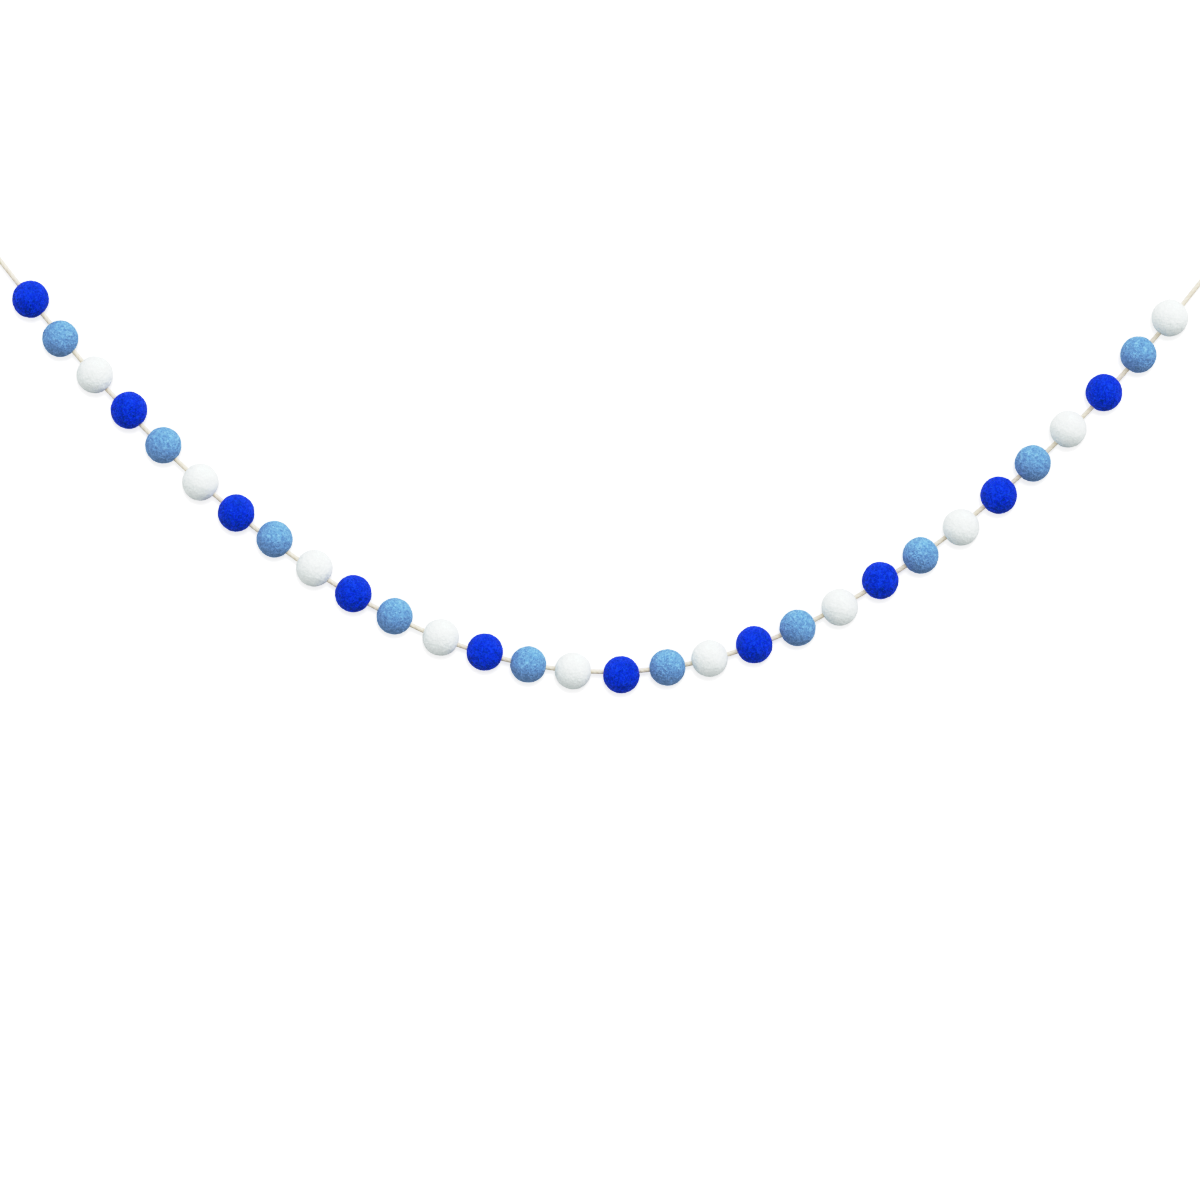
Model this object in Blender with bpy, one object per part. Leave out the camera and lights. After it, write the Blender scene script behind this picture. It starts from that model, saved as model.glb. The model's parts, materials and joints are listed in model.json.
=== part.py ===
"""Felt ball garland: felted wool balls threaded on one cotton cord that hangs in a swag.

Metres, +Z up, seen from -Y. The origin is inside the bight of the left hanging loop,
where the nail or hook that carries that end bears on the cord.
"""
import math
from typing import NamedTuple

import bmesh
import bpy
from mathutils import Vector

MM = 0.001
WELD = 0.01 * MM
CURVE_STEPS = 24
FELT_ROUGHNESS = 0.95
COTTON_ROUGHNESS = 0.9

# The cord, and the felt left clear around it in each ball
CORD_DIAMETER = 3.2 * MM
CORD_RADIUS = CORD_DIAMETER / 2
BORE_RADIUS = CORD_RADIUS + 0.4 * MM
CORD_POINTS = 76
TOUCH_GAP = 0.3 * MM

# The hanging loop at each end: a pear-shaped bight, its knot and the cord's loose tail
KNOT_TURNS = 3
KNOT_TURN_RADIUS = 3.5 * MM
KNOT_ARC = math.radians(75)
KNOT_ARC_STEPS = 4
KNOT_SLANT = 0.25
KNOT_PITCH = 2 * CORD_RADIUS * math.sin(KNOT_ARC)
KNOT_LENGTH = KNOT_TURNS * KNOT_PITCH
SPIN_STEPS = 14
LOOP_LENGTH = 34.0 * MM
LOOP_SPREAD = 10.5 * MM
LOOP_START_ANGLE = 0.62
LOOP_POINTS = 28
TAIL_LENGTH = 17.0 * MM
TAIL_POINTS = 7
CREASE_ANGLE = math.radians(50)

# The swag is laid out in millimetres, x from the middle of the span and z from the cord's lowest point
LEFT_KNOT = (-422.0, 296.5)
RIGHT_KNOT = (422.0, 281.0)


class Seat(NamedTuple):
    """Where a ball sits: a point of the cord's route, and how far the ball's middle is above the cord."""

    x: float
    z: float
    rise: float


SEATS = (
    Seat(-389.0, 254.5, 0.0),
    Seat(-367.5, 228.5, -1.5),
    Seat(-345.5, 202.5, 0.5),
    Seat(-322.5, 178.0, 1.0),
    Seat(-299.0, 154.0, 1.0),
    Seat(-273.0, 129.5, 0.0),
    Seat(-248.5, 108.5, 0.0),
    Seat(-223.5, 89.0, 2.0),
    Seat(-196.0, 69.5, 1.5),
    Seat(-169.0, 52.5, 1.0),
    Seat(-140.5, 37.5, 0.5),
    Seat(-109.0, 23.0, 0.5),
    Seat(-79.0, 12.5, 1.0),
    Seat(-49.0, 5.0, 0.0),
    Seat(-18.5, 1.0, -0.5),
    Seat(14.5, 0.0, -2.0),
    Seat(46.0, 3.0, 0.0),
    Seat(75.0, 8.5, 0.5),
    Seat(105.5, 18.0, 0.5),
    Seat(135.0, 30.0, 0.0),
    Seat(163.5, 44.5, -0.5),
    Seat(192.0, 61.5, 1.0),
    Seat(219.0, 79.5, 0.0),
    Seat(246.0, 99.5, -1.0),
    Seat(272.0, 121.0, -0.5),
    Seat(296.0, 142.0, 0.5),
    Seat(320.5, 165.0, 1.0),
    Seat(345.0, 190.0, 1.0),
    Seat(368.5, 216.0, 1.0),
    Seat(390.0, 241.0, 1.0),
)


class Felt(NamedTuple):
    """One colour of ball: its size across, its height and its linear colour."""

    name: str
    width: float
    height: float
    colour: tuple


# The colours repeat in this order from the left
FELTS = (
    Felt("blue", 24.8 * MM, 25.4 * MM, (0.012, 0.045, 0.60)),
    Felt("light_blue", 24.5 * MM, 24.8 * MM, (0.15, 0.34, 0.62)),
    Felt("white", 24.7 * MM, 25.1 * MM, (0.84, 0.87, 0.86)),
)
COTTON_COLOUR = (0.70, 0.66, 0.57)


def clear_scene():
    """Removes every object that the scene starts with."""
    for obj in list(bpy.data.objects):
        bpy.data.objects.remove(obj, do_unlink=True)


def new_collection(name):
    """Returns a new collection in the scene."""
    collection = bpy.data.collections.new(name)
    bpy.context.scene.collection.children.link(collection)
    return collection


def new_material(name, colour, roughness):
    """Returns a matt Principled material of one colour."""
    material = bpy.data.materials.new(name)
    material.use_nodes = True
    shader = material.node_tree.nodes["Principled BSDF"]
    shader.inputs["Base Color"].default_value = (*colour, 1.0)
    shader.inputs["Roughness"].default_value = roughness
    shader.inputs["Metallic"].default_value = 0.0
    return material


def new_object(name, data, collection, hanger, material=None):
    """Returns a new object in the collection, on the hanger and dressed in the material."""
    obj = bpy.data.objects.new(name, data)
    collection.objects.link(obj)
    obj.parent = hanger
    if material is not None:
        data.materials.append(material)
    return obj


def make_helper(obj):
    """Marks an object that only cuts or joins others."""
    obj.hide_render = True
    obj.display_type = "WIRE"


def smooth_curve(points, count):
    """Returns count evenly spaced points of a Catmull-Rom curve through the points."""
    before = points[0] * 2 - points[1]
    after = points[-1] * 2 - points[-2]
    chain = [before, *points, after]
    fine = []
    for a, b, c, d in zip(chain, chain[1:], chain[2:], chain[3:]):
        for i in range(CURVE_STEPS):
            t = i / CURVE_STEPS
            bend = 2 * a - 5 * b + 4 * c - d
            twist = 3 * (b - c) + d - a
            fine.append((2 * b + (c - a) * t + bend * t ** 2 + twist * t ** 3) / 2)
    fine.append(points[-1].copy())
    return evenly_spaced(fine, count)


def evenly_spaced(line, count):
    """Returns count points at equal distances along a fine line."""
    reach = [0.0]
    for a, b in zip(line, line[1:]):
        reach.append(reach[-1] + (b - a).length)
    spaced = []
    i = 0
    for step in range(count):
        along = reach[-1] * step / (count - 1)
        while i < len(line) - 2 and reach[i + 1] < along:
            i += 1
        part = (along - reach[i]) / (reach[i + 1] - reach[i])
        spaced.append(line[i].lerp(line[i + 1], part))
    return spaced


def tube_curve(name, points, radius):
    """Returns a curve datablock: a round tube with flat caps along the points."""
    curve = bpy.data.curves.new(name, "CURVE")
    curve.dimensions = "3D"
    curve.bevel_depth = radius
    curve.bevel_resolution = 2
    curve.use_fill_caps = True
    spline = curve.splines.new("POLY")
    spline.points.add(len(points) - 1)
    for spot, point in zip(spline.points, points):
        spot.co = (*point, 1.0)
    return curve


def tube_helper(name, points, radius, collection, hanger):
    """Returns a helper mesh object of a tube whose caps are welded on."""
    source = new_object(name + "_line", tube_curve(name, points, radius), collection, hanger)
    bpy.context.view_layer.update()
    evaluated = source.evaluated_get(bpy.context.evaluated_depsgraph_get())
    mesh = bpy.data.meshes.new_from_object(evaluated)
    bpy.data.objects.remove(source, do_unlink=True)
    bm = bmesh.new()
    bm.from_mesh(mesh)
    bmesh.ops.remove_doubles(bm, verts=bm.verts, dist=WELD)
    bm.to_mesh(mesh)
    bm.free()
    obj = new_object(name, mesh, collection, hanger)
    make_helper(obj)
    return obj


def add_boolean(obj, other, operation):
    """Cuts the other object out of this one, or joins it on."""
    boolean = obj.modifiers.new(operation.lower(), "BOOLEAN")
    boolean.operation = operation
    boolean.object = other
    boolean.solver = "EXACT"


class HangingEnd:
    """The directions and places at one end of the cord, where it is tied into a loop."""

    def __init__(self, side, knot, first_seat):
        self.side = side
        self.knot = at(*knot)
        self.outward = (self.knot - at(first_seat.x, first_seat.z)).normalized()
        self.below = Vector((self.outward.z, 0.0, -self.outward.x))
        if self.below.z > 0:
            self.below.negate()

    def place(self, outward, below):
        """Returns the point that lies so far outward from the knot's middle and below its axis."""
        return self.knot + self.outward * outward + self.below * below

    def cord_end(self):
        """Returns where the cord stops, just short of the knot."""
        return self.place(-(KNOT_LENGTH / 2 + TOUCH_GAP), 0.0)

    def bearing_point(self):
        """Returns the point inside the loop's bight where a nail or hook bears."""
        return self.place(LOOP_LENGTH - CORD_RADIUS, 0.0)

    def loop_line(self):
        """Returns the pear-shaped line of the loop, from the knot round to the knot."""
        points = []
        for i in range(LOOP_POINTS):
            share = i / (LOOP_POINTS - 1)
            angle = LOOP_START_ANGLE + (2 * math.pi - 2 * LOOP_START_ANGLE) * share
            outward = LOOP_LENGTH * (1 - math.cos(angle)) / 2
            spread = LOOP_SPREAD * math.sin(angle) * math.sin(angle / 2)
            points.append(self.place(outward, spread))
        return points

    def tail_line(self):
        """Returns the line of the short tail that hangs straight down from under the knot."""
        root = self.place(-1.0 * MM, 2.0 * MM)
        way_out = self.place(-5.0 * MM, 3.8 * MM)
        drop = Vector((0.0, 0.0, -TAIL_LENGTH))
        return smooth_curve([root, way_out, way_out + drop / 3, way_out + drop], TAIL_POINTS)


def at(x, z):
    """Returns the place of a point of the swag that is given in millimetres."""
    return Vector((x * MM, 0.0, z * MM))


def knot_profile():
    """Returns the knot's half outline: one round ridge for each turn of cord, closed on the axis."""
    half = KNOT_LENGTH / 2
    outline = [(-half, 0.0)]
    for turn in range(KNOT_TURNS):
        middle = (turn + 0.5) * KNOT_PITCH - half
        first_step = 0 if turn == 0 else 1
        for step in range(first_step, KNOT_ARC_STEPS + 1):
            angle = KNOT_ARC * (2 * step / KNOT_ARC_STEPS - 1)
            along = middle + CORD_RADIUS * math.sin(angle)
            outline.append((along, KNOT_TURN_RADIUS + CORD_RADIUS * math.cos(angle)))
    outline.append((half, 0.0))
    return outline


def knot_mesh(end):
    """Returns a knot of turns that lie side by side and slant across the loop's strands."""
    bm = bmesh.new()
    rim = [bm.verts.new((radius, 0.0, along)) for along, radius in knot_profile()]
    edges = [bm.edges.new(pair) for pair in zip(rim, rim[1:])]
    bmesh.ops.spin(bm, geom=rim + edges, axis=(0, 0, 1), angle=2 * math.pi, steps=SPIN_STEPS)
    bmesh.ops.remove_doubles(bm, verts=bm.verts, dist=WELD)
    for vert in bm.verts:
        side, depth, along = vert.co
        slant = KNOT_SLANT * side * (1 - (2 * along / KNOT_LENGTH) ** 2)
        vert.co = end.place(along + slant, side) + Vector((0.0, depth, 0.0))
    bmesh.ops.recalc_face_normals(bm, faces=bm.faces)
    mesh = bpy.data.meshes.new(end.side + "_knot")
    bm.to_mesh(mesh)
    bm.free()
    mesh.shade_smooth()
    mesh.set_sharp_from_angle(angle=CREASE_ANGLE)
    return mesh


def build_hanging_loop(end, parts, helpers, hanger, cotton):
    """Builds one end's knot with its loop and tail fused on, as one solid."""
    knot = new_object(end.side + "_loop", knot_mesh(end), parts, hanger, cotton)
    loop = tube_helper(end.side + "_loop_tube", end.loop_line(), CORD_RADIUS, helpers, hanger)
    tail = tube_helper(end.side + "_tail_tube", end.tail_line(), CORD_RADIUS, helpers, hanger)
    add_boolean(knot, loop, "UNION")
    add_boolean(knot, tail, "UNION")


def ball_mesh(felt):
    """Returns a ball of one colour, a little taller than wide, about its own middle."""
    bm = bmesh.new()
    bmesh.ops.create_icosphere(bm, subdivisions=3, radius=0.5)
    bmesh.ops.scale(bm, vec=(felt.width, felt.width, felt.height), verts=bm.verts)
    mesh = bpy.data.meshes.new(felt.name + "_ball")
    bm.to_mesh(mesh)
    bm.free()
    mesh.shade_smooth()
    mesh.materials.append(new_material(felt.name + " felt", felt.colour, FELT_ROUGHNESS))
    return mesh


def ball_centre(route, number, rise):
    """Returns a ball's middle: its seat on the route, raised square to the cord."""
    along = route[number + 1] - route[number - 1]
    up = Vector((-along.z, 0.0, along.x)).normalized()
    return route[number] + up * rise * MM


def build_balls(route, bore, parts, hanger):
    """Builds a ball on every seat, each bored where the cord passes through it."""
    meshes = [ball_mesh(felt) for felt in FELTS]
    for number, seat in enumerate(SEATS, start=1):
        kind = (number - 1) % len(FELTS)
        ball = new_object(f"ball_{number:02d}_{FELTS[kind].name}", meshes[kind], parts, hanger)
        ball.location = ball_centre(route, number, seat.rise)
        add_boolean(ball, bore, "DIFFERENCE")


def build():
    """Builds the garland, on a hanger that brings its left loop to the origin."""
    clear_scene()
    parts = new_collection("felt_ball_garland")
    helpers = new_collection("cutters")
    cotton = new_material("natural cotton", COTTON_COLOUR, COTTON_ROUGHNESS)
    left = HangingEnd("left", LEFT_KNOT, SEATS[0])
    right = HangingEnd("right", RIGHT_KNOT, SEATS[-1])
    hanger = new_object("hanger", None, helpers, None)
    hanger.location = -left.bearing_point()
    route = [left.cord_end(), *(at(seat.x, seat.z) for seat in SEATS), right.cord_end()]
    line = smooth_curve(route, CORD_POINTS)
    new_object("cord", tube_curve("cord", line, CORD_RADIUS), parts, hanger, cotton)
    bore = tube_helper("bore", line, BORE_RADIUS, helpers, hanger)
    build_balls(route, bore, parts, hanger)
    for end in (left, right):
        build_hanging_loop(end, parts, helpers, hanger, cotton)


build()
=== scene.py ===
"""Felt ball garland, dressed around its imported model.

Thirty wet-felted wool balls in deep blue, light blue and white hang on one laid cotton cord, which is tied
into a loop at each end. The swag's numbers repeat those of the part's source, in millimetres. All that is
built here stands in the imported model's frame, in metres.
"""
from __future__ import annotations

import json
import logging
import math
import random
from dataclasses import dataclass, field
from enum import Enum

import bpy
from bpy.types import Collection, Material, Node, NodeSocket, NodeTree, Object
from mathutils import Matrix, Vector

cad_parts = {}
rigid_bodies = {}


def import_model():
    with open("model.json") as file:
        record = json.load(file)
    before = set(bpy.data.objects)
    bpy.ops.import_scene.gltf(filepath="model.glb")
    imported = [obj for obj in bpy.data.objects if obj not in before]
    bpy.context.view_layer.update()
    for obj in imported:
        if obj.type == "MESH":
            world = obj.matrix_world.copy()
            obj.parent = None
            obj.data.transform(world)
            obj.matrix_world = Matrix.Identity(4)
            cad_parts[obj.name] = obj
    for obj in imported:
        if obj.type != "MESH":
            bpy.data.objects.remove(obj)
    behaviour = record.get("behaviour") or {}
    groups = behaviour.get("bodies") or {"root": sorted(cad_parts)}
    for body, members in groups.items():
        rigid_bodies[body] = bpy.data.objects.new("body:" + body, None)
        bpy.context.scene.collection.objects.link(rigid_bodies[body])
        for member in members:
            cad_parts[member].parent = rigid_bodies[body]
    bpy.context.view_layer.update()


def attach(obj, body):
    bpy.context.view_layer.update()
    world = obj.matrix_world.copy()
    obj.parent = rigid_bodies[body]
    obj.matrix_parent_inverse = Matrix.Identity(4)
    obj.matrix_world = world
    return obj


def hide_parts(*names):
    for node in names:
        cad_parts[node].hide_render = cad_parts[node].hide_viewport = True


LOG = logging.getLogger("felt_ball_garland")
MM = 0.001
BODY = "root"
BAKE_MAP = "OFBake"

# The cord as in the part's source, and the bore, which is narrower here than the part's
CORD_DIAMETER = 3.2 * MM
CORD_RADIUS = CORD_DIAMETER / 2
BORE_RADIUS = CORD_RADIUS + 0.22 * MM
TOUCH_GAP = 0.3 * MM
CURVE_STEPS = 24

# The knots and the middle of the view on the swag's own grid, in millimetres
LEFT_KNOT = (-422.0, 296.5)
RIGHT_KNOT = (422.0, 281.0)
VIEW_MIDDLE = (0.0, 49.0)

Colour = tuple[float, float, float]
Socket = NodeSocket | float | int | tuple


@dataclass(frozen=True)
class Seat:
    """Where a ball sits: a point of the cord's route, and how far the ball's middle is above the cord."""

    x: float
    z: float
    rise: float


# Each line is one repeat of the colours: a deep blue, a light blue and a white ball
SEATS = tuple(Seat(*row) for row in (
    (-389.0, 254.5, 0.0), (-367.5, 228.5, -1.5), (-345.5, 202.5, 0.5),
    (-322.5, 178.0, 1.0), (-299.0, 154.0, 1.0), (-273.0, 129.5, 0.0),
    (-248.5, 108.5, 0.0), (-223.5, 89.0, 2.0), (-196.0, 69.5, 1.5),
    (-169.0, 52.5, 1.0), (-140.5, 37.5, 0.5), (-109.0, 23.0, 0.5),
    (-79.0, 12.5, 1.0), (-49.0, 5.0, 0.0), (-18.5, 1.0, -0.5),
    (14.5, 0.0, -2.0), (46.0, 3.0, 0.0), (75.0, 8.5, 0.5),
    (105.5, 18.0, 0.5), (135.0, 30.0, 0.0), (163.5, 44.5, -0.5),
    (192.0, 61.5, 1.0), (219.0, 79.5, 0.0), (246.0, 99.5, -1.0),
    (272.0, 121.0, -0.5), (296.0, 142.0, 0.5), (320.5, 165.0, 1.0),
    (345.0, 190.0, 1.0), (368.5, 216.0, 1.0), (390.0, 241.0, 1.0),
))


def at(x: float, z: float) -> Vector:
    """Returns the place of a point of the swag that is given in millimetres."""
    return Vector((x * MM, 0.0, z * MM))


def fine_curve(points: list[Vector]) -> list[Vector]:
    """Draws a Catmull-Rom curve through some points.

    Args:
        points: the points that the curve passes, in order.

    Returns:
        The curve's own points, CURVE_STEPS to each span.
    """
    before = points[0] * 2 - points[1]
    after = points[-1] * 2 - points[-2]
    chain = [before, *points, after]
    fine = []
    for a, b, c, d in zip(chain, chain[1:], chain[2:], chain[3:]):
        for i in range(CURVE_STEPS):
            t = i / CURVE_STEPS
            bend = 2 * a - 5 * b + 4 * c - d
            twist = 3 * (b - c) + d - a
            fine.append((2 * b + (c - a) * t + bend * t**2 + twist * t**3) / 2)
    fine.append(points[-1].copy())
    return fine


def line_length(line: list[Vector]) -> float:
    """Returns how long a line of points is."""
    return sum((b - a).length for a, b in zip(line, line[1:]))


def evenly_spaced(line: list[Vector], count: int) -> list[Vector]:
    """Spaces points evenly along a line.

    Args:
        line: the line's own points, close together.
        count: how many points are wanted.

    Returns:
        The points, of which the first and last are the line's ends.
    """
    reach = [0.0]
    for a, b in zip(line, line[1:]):
        reach.append(reach[-1] + (b - a).length)
    spaced = []
    i = 0
    for step in range(count):
        along = reach[-1] * step / (count - 1)
        while i < len(line) - 2 and reach[i + 1] < along:
            i += 1
        part = (along - reach[i]) / max(reach[i + 1] - reach[i], 1e-12)
        spaced.append(line[i].lerp(line[i + 1], part))
    return spaced


def select_only(piece: Object | None = None) -> None:
    """Deselects everything, so that an operator works on one piece alone.

    Args:
        piece: what is then selected and active, if anything is.
    """
    bpy.ops.object.select_all(action="DESELECT")
    if piece is not None:
        piece.select_set(True)
        bpy.context.view_layer.objects.active = piece


def remove_object(helper: Object) -> None:
    """Removes a helper and its mesh.

    Args:
        helper: the object that is no longer needed.
    """
    mesh = helper.data
    bpy.data.objects.remove(helper, do_unlink=True)
    bpy.data.meshes.remove(mesh)


class NodeSheet:
    """A node tree being wired up, with short calls that add a node and give back its output."""

    def __init__(self, tree: NodeTree) -> None:
        """Takes the tree that the nodes go into."""
        self.tree = tree

    def add(self, kind: str, values: dict[str | int, object] | None = None, **settings: object) -> Node:
        """Adds a node.

        Args:
            kind: the node's type name.
            values: for input names or numbers, a value to set or a socket to join.
            settings: the node's own properties.

        Returns:
            The new node.
        """
        node = self.tree.nodes.new(kind)
        for name, value in settings.items():
            setattr(node, name, value)
        self.feed(node, values or {})
        return node

    def feed(self, node: Node, values: dict[str | int, object]) -> None:
        """Joins sockets to a node's inputs, or sets the inputs' own values.

        Args:
            node: the node.
            values: for input names or numbers, a value to set or a socket to join.
        """
        for key, value in values.items():
            if isinstance(value, NodeSocket):
                self.tree.links.new(value, node.inputs[key])
            else:
                node.inputs[key].default_value = value

    def math(self, operation: str, a: Socket, b: Socket = 0.0, clamp: bool = False) -> NodeSocket:
        """Returns the output of a Math node."""
        return self.add("ShaderNodeMath", {0: a, 1: b}, operation=operation, use_clamp=clamp).outputs[0]

    def weighed(self, *parts: tuple[Socket, float]) -> NodeSocket:
        """Adds numbers up, each times its weight.

        Args:
            parts: each number and its weight.

        Returns:
            The sum.
        """
        total = self.math("MULTIPLY", *parts[0])
        for value, weight in parts[1:]:
            total = self.math("ADD", total, self.math("MULTIPLY", value, weight))
        return total

    def vector(self, operation: str, a: Socket, b: Socket = (0.0, 0.0, 0.0)) -> NodeSocket:
        """Returns the vector output of a Vector Math node."""
        return self.add("ShaderNodeVectorMath", {0: a, 1: b}, operation=operation).outputs["Vector"]

    def scaled(self, a: Socket, scale: Socket) -> NodeSocket:
        """Returns a vector times a number."""
        return self.add("ShaderNodeVectorMath", {0: a, "Scale": scale}, operation="SCALE").outputs["Vector"]

    def value_of(self, operation: str, a: Socket, b: Socket = (0.0, 0.0, 0.0)) -> NodeSocket:
        """Returns the number that a Vector Math node such as a dot product or a length puts out."""
        return self.add("ShaderNodeVectorMath", {0: a, 1: b}, operation=operation).outputs["Value"]

    def ramp(self, value: Socket, low: float, high: float, to_low: float = 0.0, to_high: float = 1.0,
             kind: str = "SMOOTHSTEP") -> NodeSocket:
        """Maps a number from one range to another.

        Args:
            value: the number or socket to map.
            low: where the first range starts.
            high: where it ends.
            to_low: what the start becomes.
            to_high: what the end becomes.
            kind: the map's curve.

        Returns:
            The mapped number.
        """
        values = {"Value": value, "From Min": low, "From Max": high, "To Min": to_low, "To Max": to_high}
        return self.add("ShaderNodeMapRange", values, interpolation_type=kind).outputs["Result"]

    def noise(self, place: Socket, grain: float, detail: float = 1.0, swirl: float = 0.0) -> Node:
        """Adds soft noise.

        Args:
            place: the coordinates that it reads.
            grain: the size of its grains, in metres.
            detail: how many finer layers it has.
            swirl: how much it is distorted.

        Returns:
            The noise node.
        """
        values = {"Vector": place, "Scale": 1.0 / grain, "Detail": detail, "Distortion": swirl}
        return self.add("ShaderNodeTexNoise", values)

    def blend(self, share: Socket, a: Socket, b: Socket, kind: str = "MIX") -> NodeSocket:
        """Returns two colours mixed, with share as the second one's part."""
        values = {0: share, 6: a, 7: b}
        return self.add("ShaderNodeMix", values, data_type="RGBA", blend_type=kind).outputs[2]

    def random_number(self, low: float, high: float, seed: Socket) -> NodeSocket:
        """Returns a random number for each point or instance, between two numbers."""
        values = {2: low, 3: high, "Seed": seed}
        return self.add("FunctionNodeRandomValue", values, data_type="FLOAT").outputs[1]

    def keep(self, geometry: Socket, name: str, value: Socket, kind: str) -> NodeSocket:
        """Returns geometry whose points keep a value in a named attribute."""
        values = {"Geometry": geometry, "Name": name, "Value": value}
        return self.add("GeometryNodeStoreNamedAttribute", values, data_type=kind, domain="POINT").outputs[0]


class Kind(Enum):
    """The kinds of socket that the node groups have."""

    GEOMETRY = "NodeSocketGeometry"
    VECTOR = "NodeSocketVector"
    NUMBER = "NodeSocketFloat"
    COUNT = "NodeSocketInt"
    COLOUR = "NodeSocketColor"
    COLLECTION = "NodeSocketCollection"


def new_group(name: str, tree_kind: str, inputs: dict[str, Kind],
              outputs: dict[str, Kind]) -> tuple[NodeSheet, Node, Node]:
    """Starts a node group.

    Args:
        name: the group's name.
        tree_kind: the node tree's type name.
        inputs: the input sockets.
        outputs: the output sockets.

    Returns:
        The group's sheet, its input node and its output node.
    """
    group = bpy.data.node_groups.new(name, tree_kind)
    for way, sockets in (("INPUT", inputs), ("OUTPUT", outputs)):
        for title, kind in sockets.items():
            group.interface.new_socket(name=title, in_out=way, socket_type=kind.value)
    sheet = NodeSheet(group)
    return sheet, sheet.add("NodeGroupInput"), sheet.add("NodeGroupOutput")


class TubeStore:
    """Gathers tubes of yarn into one mesh, with the maps and attributes that the cotton and wool read."""

    def __init__(self) -> None:
        """Starts with nothing gathered."""
        self.points: list[Vector] = []
        self.faces: list[tuple[int, ...]] = []
        self.places: list[tuple[float, float]] = []
        self.laid: list[Vector] = []
        self.hollow: list[float] = []

    def add_point(self, point: Vector, laid: Vector, hollow: float) -> int:
        """Adds a point.

        Args:
            point: where it is.
            laid: its place on the straightened yarn.
            hollow: how deep in a groove it is.

        Returns:
            Its number.
        """
        self.points.append(point)
        self.laid.append(laid)
        self.hollow.append(hollow)
        return len(self.points) - 1

    def add_face(self, corners: tuple[int, ...], places: tuple[tuple[float, float], ...]) -> None:
        """Adds a face with its corners' places on the bake map."""
        self.faces.append(corners)
        self.places.extend(places)

    def build(self, name: str, material: Material | None = None) -> Object:
        """Makes the gathered tubes one object.

        Args:
            name: the object's name.
            material: what it is dressed in.

        Returns:
            The new object, at the origin.
        """
        mesh = bpy.data.meshes.new(name)
        mesh.from_pydata(self.points, [], self.faces)
        bake_map = mesh.uv_layers.new(name=BAKE_MAP)
        bake_map.uv.foreach_set("vector", [part for place in self.places for part in place])
        laid = mesh.attributes.new("laid", "FLOAT_VECTOR", "POINT")
        laid.data.foreach_set("vector", [part for spot in self.laid for part in spot])
        hollow = mesh.attributes.new("hollow", "FLOAT", "POINT")
        hollow.data.foreach_set("value", self.hollow)
        mesh.shade_smooth()
        mesh.update()
        piece = bpy.data.objects.new(name, mesh)
        bpy.context.scene.collection.objects.link(piece)
        if material is not None:
            mesh.materials.append(material)
        return piece


@dataclass(frozen=True)
class MapArea:
    """A part of the bake map, and in how many rows a long tube is laid out on it."""

    left: float = 0.0
    low: float = 0.0
    width: float = 1.0
    height: float = 1.0
    rows: int = 1
    gap: float = 0.06
    margin: float = 0.004

    def place(self, row: int, along: float, around: float) -> tuple[float, float]:
        """Returns a point of the map.

        Args:
            row: which row it is in.
            along: how far along the row, from 0 to 1.
            around: how far round the tube, from 0 to 1.

        Returns:
            The two coordinates.
        """
        down = (row + self.gap / 2 + around * (1 - self.gap)) / self.rows
        across = self.margin + along * (1 - 2 * self.margin)
        return self.left + self.width * across, self.low + self.height * down


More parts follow.
